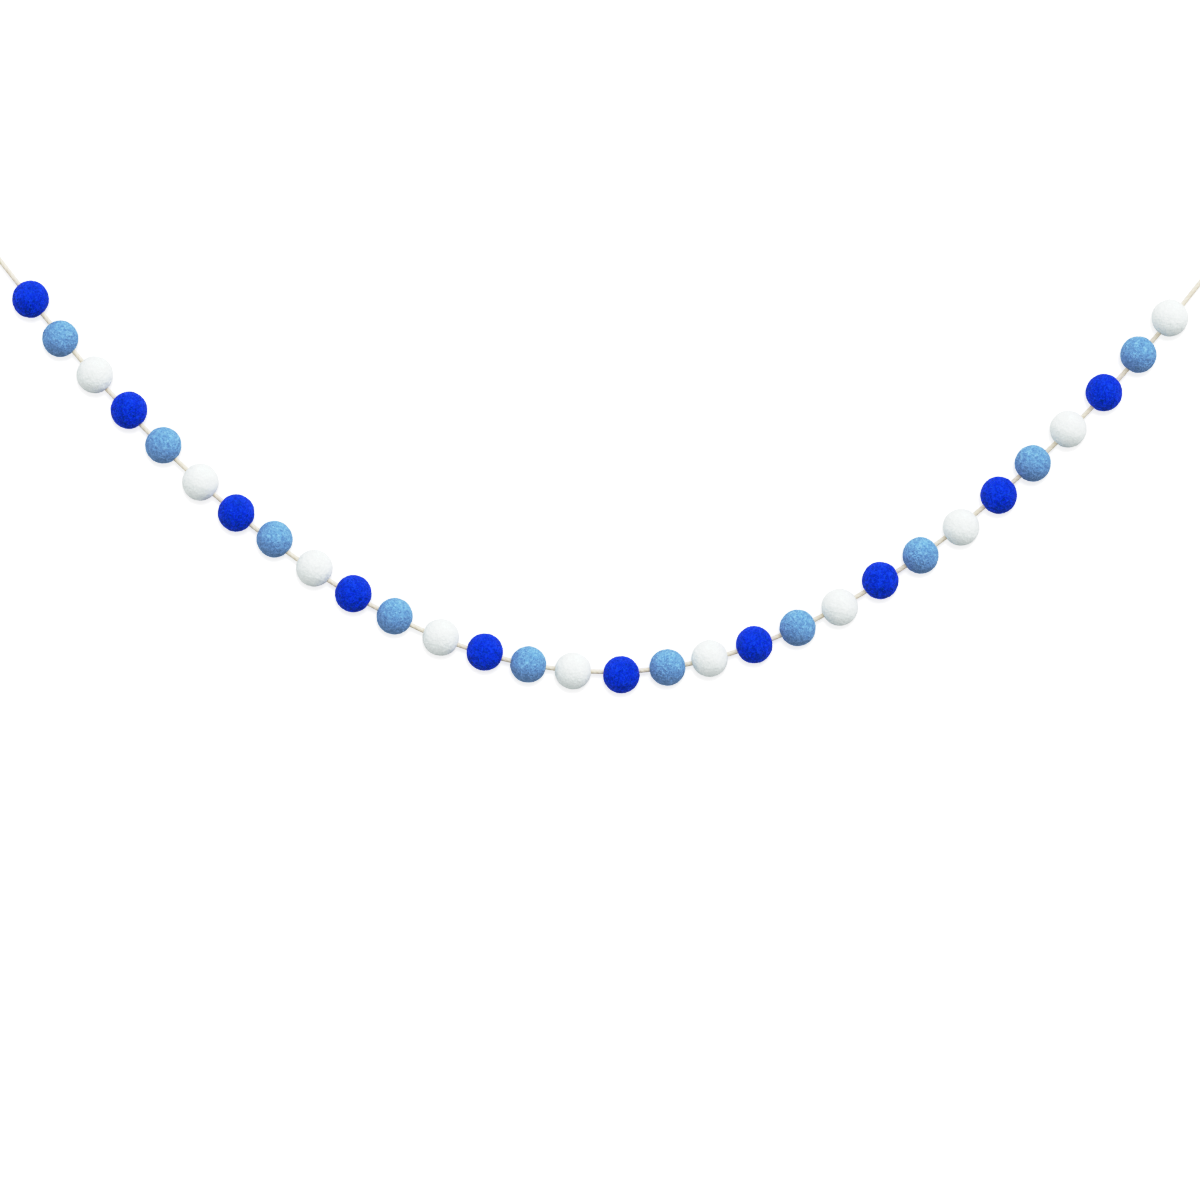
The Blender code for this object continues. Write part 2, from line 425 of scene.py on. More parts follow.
@dataclass(frozen=True)
class Yarn:
    """A yarn of plies twisted together, carried along a line as one closed tube."""

    radius: float
    plies: int = 3
    groove: float = 0.2
    groove_sharpness: float = 1.6
    lay: float = 10.0 * MM
    sides: int = 24
    ring_step: float = 0.8 * MM
    wobble: float = 0.03
    wobble_steps: tuple[float, float, float] = (3.1 * MM, 5.3 * MM, 11.0 * MM)

    def section(self, angle: float) -> tuple[float, float]:
        """Works out the yarn's section.

        Args:
            angle: where on the section, from the first groove.

        Returns:
            How far out the surface is, as a share of the radius, and how deep in a groove.
        """
        if self.plies < 2:
            return 1.0, 0.0
        valley = abs(math.sin(self.plies * angle / 2))
        depth = (1 - valley) ** self.groove_sharpness
        return 1 - self.groove * depth, depth

    def carry(self, store: TubeStore, line: list[Vector], area: MapArea, seed: int = 0,
              taper: tuple[float, float] = (1.0, 1.0), rounded: float = 0.0) -> None:
        """Lays the yarn along a line.

        Args:
            store: the mesh that it goes into.
            line: the points of its middle line.
            area: where it lies on the bake map.
            seed: what varies its thickness.
            taper: its thickness at the first and last point, as a share of the radius.
            rounded: over what length its last end rounds off.
        """
        length = line_length(line)
        count = max(4, round(length / self.ring_step) + 1)
        rings = evenly_spaced(line, count)
        draw = random.Random(seed)
        phases = [draw.uniform(0, math.tau) for _ in self.wobble_steps]
        side = None
        rows: list[list[int]] = []
        for number, point in enumerate(rings):
            ahead = (rings[min(number + 1, count - 1)] - rings[max(number - 1, 0)]).normalized()
            if side is None:
                side = ahead.orthogonal().normalized()
            side = (side - ahead * side.dot(ahead)).normalized()
            other = ahead.cross(side)
            along = length * number / (count - 1)
            share = number / (count - 1)
            thick = self.radius * (taper[0] + (taper[1] - taper[0]) * share)
            waver = sum(math.sin(along / step + phase) for step, phase in zip(self.wobble_steps, phases))
            thick *= 1 + self.wobble * waver / len(self.wobble_steps)
            if rounded and along > length - rounded:
                past = min(0.98, (along - length + rounded) / rounded)
                thick *= math.sqrt(1 - past**2)
            turn = math.tau * along / self.lay if self.lay else 0.0
            ring = []
            for k in range(self.sides):
                angle = math.tau * k / self.sides
                out, depth = self.section(angle - turn)
                spoke = side * math.cos(angle) + other * math.sin(angle)
                laid = Vector((math.cos(angle) * self.radius, math.sin(angle) * self.radius, along))
                ring.append(store.add_point(point + spoke * thick * out, laid, depth))
            rows.append(ring)
        self._skin(store, rows, area)
        self._close(store, rings[0], rows[0], area, 0.0, True)
        self._close(store, rings[-1], rows[-1], area, length, False)

    def _skin(self, store: TubeStore, rows: list[list[int]], area: MapArea) -> None:
        """Joins ring to ring with faces, laid out row by row on the bake map.

        Args:
            store: the mesh.
            rows: the numbers of each ring's points.
            area: the part of the bake map.
        """
        spans = len(rows) - 1
        per_row = math.ceil(spans / area.rows)
        for number, (near, far) in enumerate(zip(rows, rows[1:])):
            row = number // per_row
            first = (number - row * per_row) / per_row
            last = first + 1 / per_row
            for k in range(self.sides):
                after = (k + 1) % self.sides
                low, high = k / self.sides, (k + 1) / self.sides
                store.add_face((near[k], near[after], far[after], far[k]),
                               (area.place(row, first, low), area.place(row, first, high),
                                area.place(row, last, high), area.place(row, last, low)))

    def _close(self, store: TubeStore, centre: Vector, ring: list[int], area: MapArea, along: float,
               is_first: bool) -> None:
        """Closes an end with a fan of faces round its middle, or a fibre's end with one face.

        Args:
            store: the mesh.
            centre: the middle of the end.
            ring: the numbers of its points.
            area: the part of the bake map.
            along: how far along the yarn the end is.
            is_first: whether it is the first end.
        """
        row = 0 if is_first else area.rows - 1
        edge = 0.0 if is_first else 1.0
        if self.sides < 4:
            corners = tuple(reversed(ring)) if is_first else tuple(ring)
            store.add_face(corners, (area.place(row, edge, 0.5),) * self.sides)
            return
        hub = store.add_point(centre.copy(), Vector((0.0, 0.0, along)), 0.0)
        for k in range(self.sides):
            after = (k + 1) % self.sides
            corners = (hub, ring[after], ring[k]) if is_first else (hub, ring[k], ring[after])
            store.add_face(corners, (area.place(row, edge, k / self.sides),) * 3)


class Felt(Enum):
    """The three colours of ball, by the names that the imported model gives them."""

    BLUE = "blue"
    LIGHT_BLUE = "light_blue"
    WHITE = "white"


@dataclass(frozen=True)
class Curls:
    """The winding strands that felting leaves on a ball, which its relief and its colour share."""

    grain: float = 2.3 * MM
    swirl_grain: float = 2.0 * MM
    swirl_reach: float = 1.9 * MM
    apart: tuple[float, float, float] = (0.31, 0.17, 0.23)
    layers: tuple[float, float, float] = (1.0, 1.22, 0.85)
    gap_grain: float = 0.9
    gap_range: tuple[float, float] = (0.36, 0.58)

    def strands(self, sheet: NodeSheet, place: NodeSocket, width: float,
                fineness: float = 1.0) -> NodeSocket:
        """Adds strands to a node tree, shader or geometry.

        Args:
            sheet: the tree being wired up.
            place: the coordinates on the ball before its relief.
            width: how wide the strands are, as a share of the noise's range.
            fineness: how much smaller than usual the whole pattern is.

        Returns:
            The height over the strands, from 0 between them to 1 on their tops.
        """
        shift = sheet.noise(place, self.swirl_grain / fineness, 1.0).outputs["Color"]
        shift = sheet.scaled(sheet.vector("SUBTRACT", shift, (0.5, 0.5, 0.5)), self.swirl_reach / fineness)
        swirled = sheet.vector("ADD", place, shift)
        highest: Socket = 0.0
        for number, share in enumerate(self.layers):
            moved = sheet.vector("ADD", swirled, tuple(part * number for part in self.apart))
            level = sheet.noise(moved, self.grain * share / fineness, 0.0).outputs["Fac"]
            away = sheet.math("ABSOLUTE", sheet.math("SUBTRACT", level, 0.5))
            ridge = sheet.ramp(away, 0.0, width, 1.0, 0.0)
            sunk = sheet.noise(moved, self.grain * self.gap_grain / fineness, 0.0).outputs["Color"]
            shown = sheet.ramp(sheet.value_of("DOT_PRODUCT", sunk, (0.0, 1.0, 0.0)), *self.gap_range)
            highest = sheet.math("MAXIMUM", highest, sheet.math("MULTIPLY", ridge, shown))
        return highest


PATTERN_OUTPUTS = {"Colour": Kind.COLOUR, "Roughness": Kind.NUMBER, "Height": Kind.NUMBER}


@dataclass(frozen=True)
class WoolPattern:
    """The felt's surface: strands and finer threads over a matted ground with pores; painted shade darkens
    the pores and a painted highlight lightens the raised strands.
    """

    curls: Curls
    strand_width: float = 0.075
    thread_width: float = 0.06
    thread_fineness: float = 3.2
    mat_grain: float = 1.5 * MM
    pore_grain: float = 0.95 * MM
    cloud_grain: float = 6.0 * MM
    mat_range: tuple[float, float] = (0.32, 0.58)
    pore_range: tuple[float, float] = (0.36, 0.50)
    cloud_range: tuple[float, float] = (0.3, 0.7)
    roughness: tuple[float, float] = (0.80, 0.56)

    def group(self) -> NodeTree:
        """Builds the shader group that every felt shares.

        Returns:
            The group. It turns a place on the ball, its stray fibres and four colours into colour, roughness
            and the height of the fibres.
        """
        inputs = {"Spot": Kind.VECTOR, "Stray": Kind.NUMBER, "Pit Colour": Kind.COLOUR,
                  "Body Colour": Kind.COLOUR, "Curl Colour": Kind.COLOUR, "Stray Colour": Kind.COLOUR,
                  "Mottle": Kind.NUMBER}
        sheet, given, result = new_group("felted wool", "ShaderNodeTree", inputs, PATTERN_OUTPUTS)
        spot = given.outputs["Spot"]
        strands = self.curls.strands(sheet, spot, self.strand_width)
        threads = self.curls.strands(sheet, spot, self.thread_width, self.thread_fineness)
        mats = sheet.noise(spot, self.mat_grain, 2.0, 0.8).outputs["Fac"]
        clouds = sheet.noise(spot, self.cloud_grain, 2.0, 0.4).outputs["Fac"]
        pores = sheet.noise(spot, self.pore_grain, 1.0, 0.5).outputs["Fac"]
        # Painted shade: where the mats and pores leave hollows, the low parts of the relief, the colour
        # darkens
        filled = sheet.math("MULTIPLY", sheet.ramp(mats, *self.mat_range),
                            sheet.ramp(pores, *self.pore_range))
        ground = sheet.blend(filled, given.outputs["Pit Colour"], given.outputs["Body Colour"])
        # Painted highlight: the raised strands and threads, the tops of the relief, are lightened to a
        # brighter colour
        raised = sheet.weighed((strands, 0.65), (threads, 0.35))
        covered = sheet.blend(raised, ground, given.outputs["Curl Colour"])
        tone = sheet.ramp(clouds, *self.cloud_range, -1.0, 1.0, "LINEAR")
        gain = sheet.math("ADD", sheet.math("MULTIPLY", tone, given.outputs["Mottle"]), 1.0)
        grey = sheet.add("ShaderNodeCombineColor", {0: gain, 1: gain, 2: gain}).outputs[0]
        toned = sheet.blend(1.0, covered, grey, "MULTIPLY")
        final = sheet.blend(given.outputs["Stray"], toned, given.outputs["Stray Colour"])
        height = sheet.weighed((strands, 0.35), (threads, 0.25), (filled, 0.4))
        rough = sheet.ramp(raised, 0.0, 1.0, *self.roughness, "LINEAR")
        sheet.feed(result, {"Colour": final, "Roughness": rough, "Height": height})
        return sheet.tree


@dataclass(frozen=True)
class CottonPattern:
    """The cord's surface: fine fibres that run along it, slow slubs, and painted shade deep in the grooves
    between the plies.
    """

    drawn_out: float = 0.16
    fibre_grain: float = 0.34 * MM
    slub_grain: float = 3.4 * MM
    # How strongly the painted shade darkens the grooves between the plies
    groove_shade: float = 0.75
    fibre_range: tuple[float, float] = (0.42, 0.68)
    slub_range: tuple[float, float] = (0.42, 0.75)
    slub_shade: float = 0.55
    roughness: tuple[float, float] = (0.82, 0.97)

    def group(self) -> NodeTree:
        """Builds the cord's shader group.

        Returns:
            The group. It reads a place on the straightened cord, so its fibres run along the cord.
        """
        inputs = {"Laid": Kind.VECTOR, "Hollow": Kind.NUMBER, "Body Colour": Kind.COLOUR,
                  "Groove Colour": Kind.COLOUR, "Pale Colour": Kind.COLOUR}
        sheet, given, result = new_group("laid cotton", "ShaderNodeTree", inputs, PATTERN_OUTPUTS)
        laid = given.outputs["Laid"]
        body, groove, pale = (given.outputs[f"{name} Colour"] for name in ("Body", "Groove", "Pale"))
        along = sheet.vector("MULTIPLY", laid, (1.0, 1.0, self.drawn_out))
        fibres = sheet.noise(along, self.fibre_grain, 3.0, 0.5).outputs["Fac"]
        slubs = sheet.noise(laid, self.slub_grain, 2.0, 0.3).outputs["Fac"]
        paled = sheet.blend(sheet.ramp(fibres, *self.fibre_range), body, pale)
        soiled = sheet.blend(sheet.ramp(slubs, *self.slub_range, 0.0, self.slub_shade), paled, groove)
        # Painted shade: deep in the grooves between the plies, the colour darkens towards the groove colour
        shade = sheet.math("MULTIPLY", given.outputs["Hollow"], self.groove_shade, clamp=True)
        final = sheet.blend(shade, soiled, groove)
        rough = sheet.ramp(fibres, 0.3, 0.7, *self.roughness, "LINEAR")
        sheet.feed(result, {"Colour": final, "Roughness": rough, "Height": fibres})
        return sheet.tree


def new_material(name: str) -> tuple[Material, NodeSheet, Node]:
    """Starts a material.

    Args:
        name: the material's name.

    Returns:
        The material, its sheet and its Principled shader.
    """
    material = bpy.data.materials.new(name)
    material.use_nodes = True
    sheet = NodeSheet(material.node_tree)
    return material, sheet, material.node_tree.nodes["Principled BSDF"]


def patterned(name: str, pattern: NodeTree, reads: dict[str, tuple[str, str]], values: dict[str, object],
              relief: tuple[float, float], plain: dict[str, object]) -> Material:
    """Builds a material whose colour, roughness and relief come from a shader group.

    Args:
        name: the material's name.
        pattern: the shader group.
        reads: for each input of the group that reads an attribute, the attribute and which output of it.
        values: the group's other inputs.
        relief: how strong the relief is, and how deep.
        plain: the shader's own values, which are the same all over.

    Returns:
        The material.
    """
    material, sheet, shader = new_material(name)
    group = sheet.add("ShaderNodeGroup", node_tree=pattern)
    sheet.feed(group, values)
    for title, (attribute, output) in reads.items():
        reader = sheet.add("ShaderNodeAttribute", attribute_name=attribute)
        sheet.feed(group, {title: reader.outputs[output]})
    bump = sheet.add("ShaderNodeBump",
                     {"Strength": relief[0], "Distance": relief[1], "Height": group.outputs["Height"]})
    sheet.feed(shader, {"Base Color": group.outputs["Colour"], "Roughness": group.outputs["Roughness"],
                        "Normal": bump.outputs["Normal"], **plain})
    return material


@dataclass(frozen=True)
class FeltFinish:
    """Wet-felted wool of one colour, in linear colours."""

    name: str
    # The first colour is painted shade in the pores, the low parts of the relief
    pore_shade: Colour
    body: Colour
    # The curl colour is a painted highlight on the raised strands, the tops of the relief
    curl: Colour
    stray: Colour
    gloss: Colour
    mottle: float
    sheen: float
    tooth: float
    depth: float = 0.42 * MM

    def material(self, wool: NodeTree) -> Material:
        """Builds the finish.

        Args:
            wool: the shader group that every felt shares.

        Returns:
            The material.
        """
        reads = {"Spot": ("spot", "Vector"), "Stray": ("stray", "Fac")}
        values = {"Pit Colour": (*self.pore_shade, 1.0), "Body Colour": (*self.body, 1.0),
                  "Curl Colour": (*self.curl, 1.0), "Stray Colour": (*self.stray, 1.0),
                  "Mottle": self.mottle}
        plain = {"Specular IOR Level": 0.5, "Specular Tint": (*self.gloss, 1.0), "Sheen Weight": self.sheen,
                 "Sheen Roughness": 0.6, "Sheen Tint": (*self.stray, 1.0)}
        return patterned(self.name, wool, reads, values, (self.tooth, self.depth), plain)


@dataclass(frozen=True)
class CottonFinish:
    """Undyed cotton, in linear colours."""

    name: str = "natural cotton"
    body: Colour = (0.610, 0.560, 0.455)
    # The groove colour is both the slubs' darker tone and painted shade deep in the grooves between the
    # plies
    groove: Colour = (0.52, 0.47, 0.37)
    pale: Colour = (0.675, 0.635, 0.540)
    tooth: float = 0.8
    depth: float = 0.16 * MM

    def material(self) -> Material:
        """Builds the finish.

        Returns:
            The material.
        """
        reads = {"Laid": ("laid", "Vector"), "Hollow": ("hollow", "Fac")}
        values = {"Body Colour": (*self.body, 1.0), "Groove Colour": (*self.groove, 1.0),
                  "Pale Colour": (*self.pale, 1.0)}
        plain = {"Specular IOR Level": 0.1, "Sheen Weight": 0.15, "Sheen Roughness": 0.5}
        return patterned(self.name, CottonPattern().group(), reads, values, (self.tooth, self.depth), plain)


# The nap stands about 0.1 mm proud of the part's solid all round
BALL_SIZES = {
    Felt.BLUE: (25.05 * MM, 25.5 * MM),
    Felt.LIGHT_BLUE: (24.75 * MM, 24.95 * MM),
    Felt.WHITE: (25.0 * MM, 25.2 * MM),
}

# Each felt's first colour is painted shade in its pores, and its curl colour is a painted highlight on its
# raised strands
FELT_FINISHES = {
    Felt.BLUE: FeltFinish("deep blue felt", pore_shade=(0.001, 0.001, 0.20), body=(0.002, 0.003, 0.53),
                          curl=(0.009, 0.046, 1.00), stray=(0.03, 0.24, 0.98), gloss=(0.0, 1.0, 1.0),
                          mottle=0.10, sheen=0.0, tooth=1.0),
    Felt.LIGHT_BLUE: FeltFinish("light blue felt", pore_shade=(0.065, 0.175, 0.355), body=(0.128, 0.290, 0.525),
                                curl=(0.245, 0.450, 0.72), stray=(0.40, 0.63, 0.90),
                                gloss=(0.85, 0.85, 0.85), mottle=0.06, sheen=0.12, tooth=1.0),
    Felt.WHITE: FeltFinish("white felt", pore_shade=(0.615, 0.664, 0.654), body=(0.680, 0.731, 0.722),
                           curl=(0.732, 0.780, 0.770), stray=(0.78, 0.82, 0.81), gloss=(0.5, 0.5, 0.5),
                           mottle=0.02, sheen=0.22, tooth=0.3),
}


class Side(Enum):
    """The two ends of the cord."""

    LEFT = "left"
    RIGHT = "right"


@dataclass(frozen=True)
class TiedEnd:
    """One end of the cord: a pear-shaped loop, the three turns of its knot, and the tail."""

    side: Side
    knot: Vector
    first_seat: Vector
    loop_length: float = 34.0 * MM
    loop_spread: float = 10.5 * MM
    loop_start_angle: float = 0.62
    loop_points: int = 28
    loop_root: float = 1.7 * MM
    knot_turns: int = 3
    knot_turn_radius: float = 3.5 * MM
    knot_pitch: float = 2 * CORD_RADIUS * math.sin(math.radians(75))
    knot_slant: float = 0.25
    knot_tuck: float = 1.6 * MM
    turn_steps: int = 20
    tail_root: tuple[float, float] = (-1.0 * MM, 2.0 * MM)
    tail_exit: tuple[float, float] = (-5.0 * MM, 3.8 * MM)
    tail_length: float = 17.0 * MM

    @property
    def outward(self) -> Vector:
        """The direction in which the cord leaves the swag."""
        return (self.knot - self.first_seat).normalized()

    @property
    def below(self) -> Vector:
        """The direction square to the cord, on its lower side."""
        square = Vector((self.outward.z, 0.0, -self.outward.x))
        return -square if square.z > 0 else square

    @property
    def knot_length(self) -> float:
        """How long the knot is along the cord."""
        return self.knot_turns * self.knot_pitch

    def place(self, outward: float, below: float) -> Vector:
        """Returns the point that lies so far outward from the knot's middle and below its axis."""
        return self.knot + self.outward * outward + self.below * below

    def cord_end(self) -> Vector:
        """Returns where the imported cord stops, just short of the knot."""
        return self.place(-(self.knot_length / 2 + TOUCH_GAP), 0.0)

    def bearing_point(self) -> Vector:
        """Returns the point inside the loop's bight where a nail or hook bears."""
        return self.place(self.loop_length - CORD_RADIUS, 0.0)

    def loop_line(self) -> list[Vector]:
        """Draws the pear-shaped loop.

        Returns:
            Its line, from the knot round to the knot.
        """
        points = []
        for i in range(self.loop_points):
            share = i / (self.loop_points - 1)
            angle = self.loop_start_angle + (math.tau - 2 * self.loop_start_angle) * share
            outward = self.loop_length * (1 - math.cos(angle)) / 2
            spread = self.loop_spread * math.sin(angle) * math.sin(angle / 2)
            points.append(self.place(outward, spread))
        return points

    def knot_line(self) -> list[Vector]:
        """Draws the knot's turns.

        Returns:
            Their line, from inside the knot's far end to where the tail leaves.
        """
        steps = self.turn_steps * self.knot_turns
        depth = Vector((0.0, 1.0, 0.0))
        half = (self.knot_turns - 1) * self.knot_pitch / 2
        points = [self.place(half - self.knot_tuck, 0.0)]
        for i in range(steps + 1):
            share = i / steps
            angle = math.tau * self.knot_turns * share
            along = half - 2 * half * share
            across = self.knot_turn_radius * math.cos(angle)
            fade = 1 - (2 * along / self.knot_length) ** 2
            point = self.place(along + self.knot_slant * across * fade, across)
            points.append(point + depth * self.knot_turn_radius * math.sin(angle))
        return points

    def tail_line(self) -> list[Vector]:
        """Draws the short tail.

        Returns:
            Its line, out from under the knot and straight down.
        """
        way_out = self.place(*self.tail_exit)
        drop = Vector((0.0, 0.0, -self.tail_length))
        return fine_curve([self.place(*self.tail_root), way_out, way_out + drop / 3, way_out + drop])


@dataclass(frozen=True)
class BallPlace:
    """Where one ball sits, and how the cord runs through it."""

    number: int
    centre: Vector
    cord_point: Vector
    cord_direction: Vector


class Swag:
    """The cord's line from one knot to the other, with every ball's place on it."""

    def __init__(self) -> None:
        """Lays the swag out from the left loop's bearing point."""
        seats = [at(seat.x, seat.z) for seat in SEATS]
        start = TiedEnd(Side.LEFT, at(*LEFT_KNOT), seats[0]).bearing_point()
        seats = [seat - start for seat in seats]
        self.middle = at(*VIEW_MIDDLE) - start
        self.left = TiedEnd(Side.LEFT, at(*LEFT_KNOT) - start, seats[0])
        self.right = TiedEnd(Side.RIGHT, at(*RIGHT_KNOT) - start, seats[-1])
        self.route = [self.left.cord_end(), *seats, self.right.cord_end()]

    def cord_line(self) -> list[Vector]:
        """Returns the cord's line, with each end carried on into its knot."""
        return [self.left.place(0.0, 0.0), *fine_curve(self.route), self.right.place(0.0, 0.0)]

    def ball_places(self) -> list[BallPlace]:
        """Works out where the balls sit.

        Returns:
            Every ball's place, from the left.
        """
        places = []
        for number, seat in enumerate(SEATS, start=1):
            along = (self.route[number + 1] - self.route[number - 1]).normalized()
            up = Vector((-along.z, 0.0, along.x))
            centre = self.route[number] + up * seat.rise * MM
            places.append(BallPlace(number, centre, self.route[number], along))
        return places


@dataclass(frozen=True)
class Fray:
    """The loose threads in which a tail ends."""

    length: float = 7.5 * MM
    count: int = 42
    overlap: float = 3.4 * MM
    fill: float = 0.86
    turn: float = 0.382
    curl: float = 0.35 * MM
    thread: Yarn = Yarn(radius=0.24 * MM, plies=1, lay=0.0, sides=6, ring_step=0.7 * MM, wobble=0.15)

    def add(self, store: TubeStore, tail: list[Vector], seed: int) -> None:
        """Adds the threads.

        Args:
            store: the mesh that they go into.
            tail: the tail's line.
            seed: what varies them.
        """
        draw = random.Random(seed)
        down = (tail[-1] - tail[-2]).normalized()
        for number in range(self.count):
            angle = math.tau * number * self.turn
            reach = CORD_RADIUS * self.fill * math.sqrt((number + 0.5) / self.count)
            spread = Vector((math.cos(angle), math.sin(angle), 0.0))
            root = tail[-1] - down * self.overlap + spread * reach
            length = self.length * draw.uniform(0.7, 1.0)
            bow = draw.uniform(0.0, 0.5) * reach / CORD_RADIUS
            curl = Vector((draw.uniform(-1, 1), draw.uniform(-1, 1), 0.0)) * self.curl
            points = [root, root + down * length * 0.5 + spread * bow * 0.6 * MM + curl,
                      root + down * length + spread * bow * 2.0 * MM - curl]
            area = MapArea(low=0.86 + 0.13 * number / self.count, height=0.12 / self.count)
            self.thread.carry(store, fine_curve(points), area, seed=seed + number, taper=(1.0, 0.35))


@dataclass
class GarlandCord:
    """The cotton cord with its two tied ends."""

    swag: Swag
    cotton: Material
    yarn: Yarn = Yarn(radius=CORD_RADIUS + 0.06 * MM, groove=0.08, lay=11.0 * MM)
    fray: Fray = Fray()
    tail_rounding: float = 3.0 * MM
    map_rows: int = 10
    path_step: float = 4.0 * MM
    cord_seed: int = 3
    end_seeds: tuple[int, int] = (11, 17)

    def build(self) -> list[Object]:
        """Builds the cord and its tied ends.

        Returns:
            The cord, the left end and the right end.
        """
        line = self.swag.cord_line()
        store = TubeStore()
        self.yarn.carry(store, line, MapArea(rows=self.map_rows), seed=self.cord_seed)
        cord = store.build("cotton_cord", self.cotton)
        seeded = zip((self.swag.left, self.swag.right), self.end_seeds)
        ends = [self.build_end(end, seed) for end, seed in seeded]
        for piece, node in zip((cord, *ends), ("cord", "left_loop", "right_loop")):
            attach(piece, BODY)
            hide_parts(node)
        return [cord, *ends]

    def build_end(self, end: TiedEnd, seed: int) -> Object:
        """Builds one end's loop, knot and frayed tail as one piece.

        Args:
            end: which end.
            seed: what varies its yarn.

        Returns:
            The piece.
        """
        store = TubeStore()
        root = end.loop_root
        loop = fine_curve([end.place(0.0, root), *end.loop_line(), end.place(0.0, -root)])
        knot = fine_curve(end.knot_line())
        tail = end.tail_line()
        self.yarn.carry(store, loop, MapArea(height=0.4, rows=4), seed=seed)
        self.yarn.carry(store, knot, MapArea(low=0.4, height=0.3, rows=3), seed=seed + 1)
        self.yarn.carry(store, tail, MapArea(low=0.7, height=0.15), seed=seed + 2,
                        rounded=self.tail_rounding)
        self.fray.add(store, tail, seed)
        return store.build(f"{end.side.value}_tied_end", self.cotton)


@dataclass(frozen=True)
class FibreShapes:
    """A few curled wool fibres, scattered over the felt as strays."""

    count: int = 5
    points: int = 7
    span: float = 2.6 * MM
    lift: float = 0.42 * MM
    root_depth: float = 0.12 * MM
    seed: int = 5
    yarn: Yarn = Yarn(radius=0.034 * MM, plies=1, lay=0.0, sides=3, ring_step=0.9 * MM, wobble=0.0)

    def build(self) -> Collection:
        """Builds the fibres, each rooted at the origin and lying along the surface.

        Returns:
            The collection that holds them.
        """
        collection = bpy.data.collections.new("stray fibres")
        bpy.context.scene.collection.children.link(collection)
        draw = random.Random(self.seed)
        for number in range(self.count):
            store = TubeStore()
            heading = 0.0
            point = Vector((0.0, 0.0, -self.root_depth))
            line = [point.copy()]
            bend = draw.uniform(0.5, 1.0) * draw.choice((-1, 1))
            for i in range(1, self.points):
                share = i / (self.points - 1)
                heading += bend * draw.uniform(0.3, 1.1)
                step = self.span / (self.points - 1)
                point = point + Vector((math.cos(heading), math.sin(heading), 0.0)) * step
                arch = math.sin(math.pi * share * draw.uniform(0.55, 0.95))
                point.z = self.lift * draw.uniform(0.5, 1.0) * arch
                line.append(point.copy())
            area = MapArea(left=0.02 + 0.19 * number, low=0.75, width=0.17, height=0.2)
            self.yarn.carry(store, line, area, taper=(1.0, 0.4))
            fibre = store.build(f"stray_fibre_{number}")
            bpy.context.scene.collection.objects.unlink(fibre)
            collection.objects.link(fibre)
        return collection


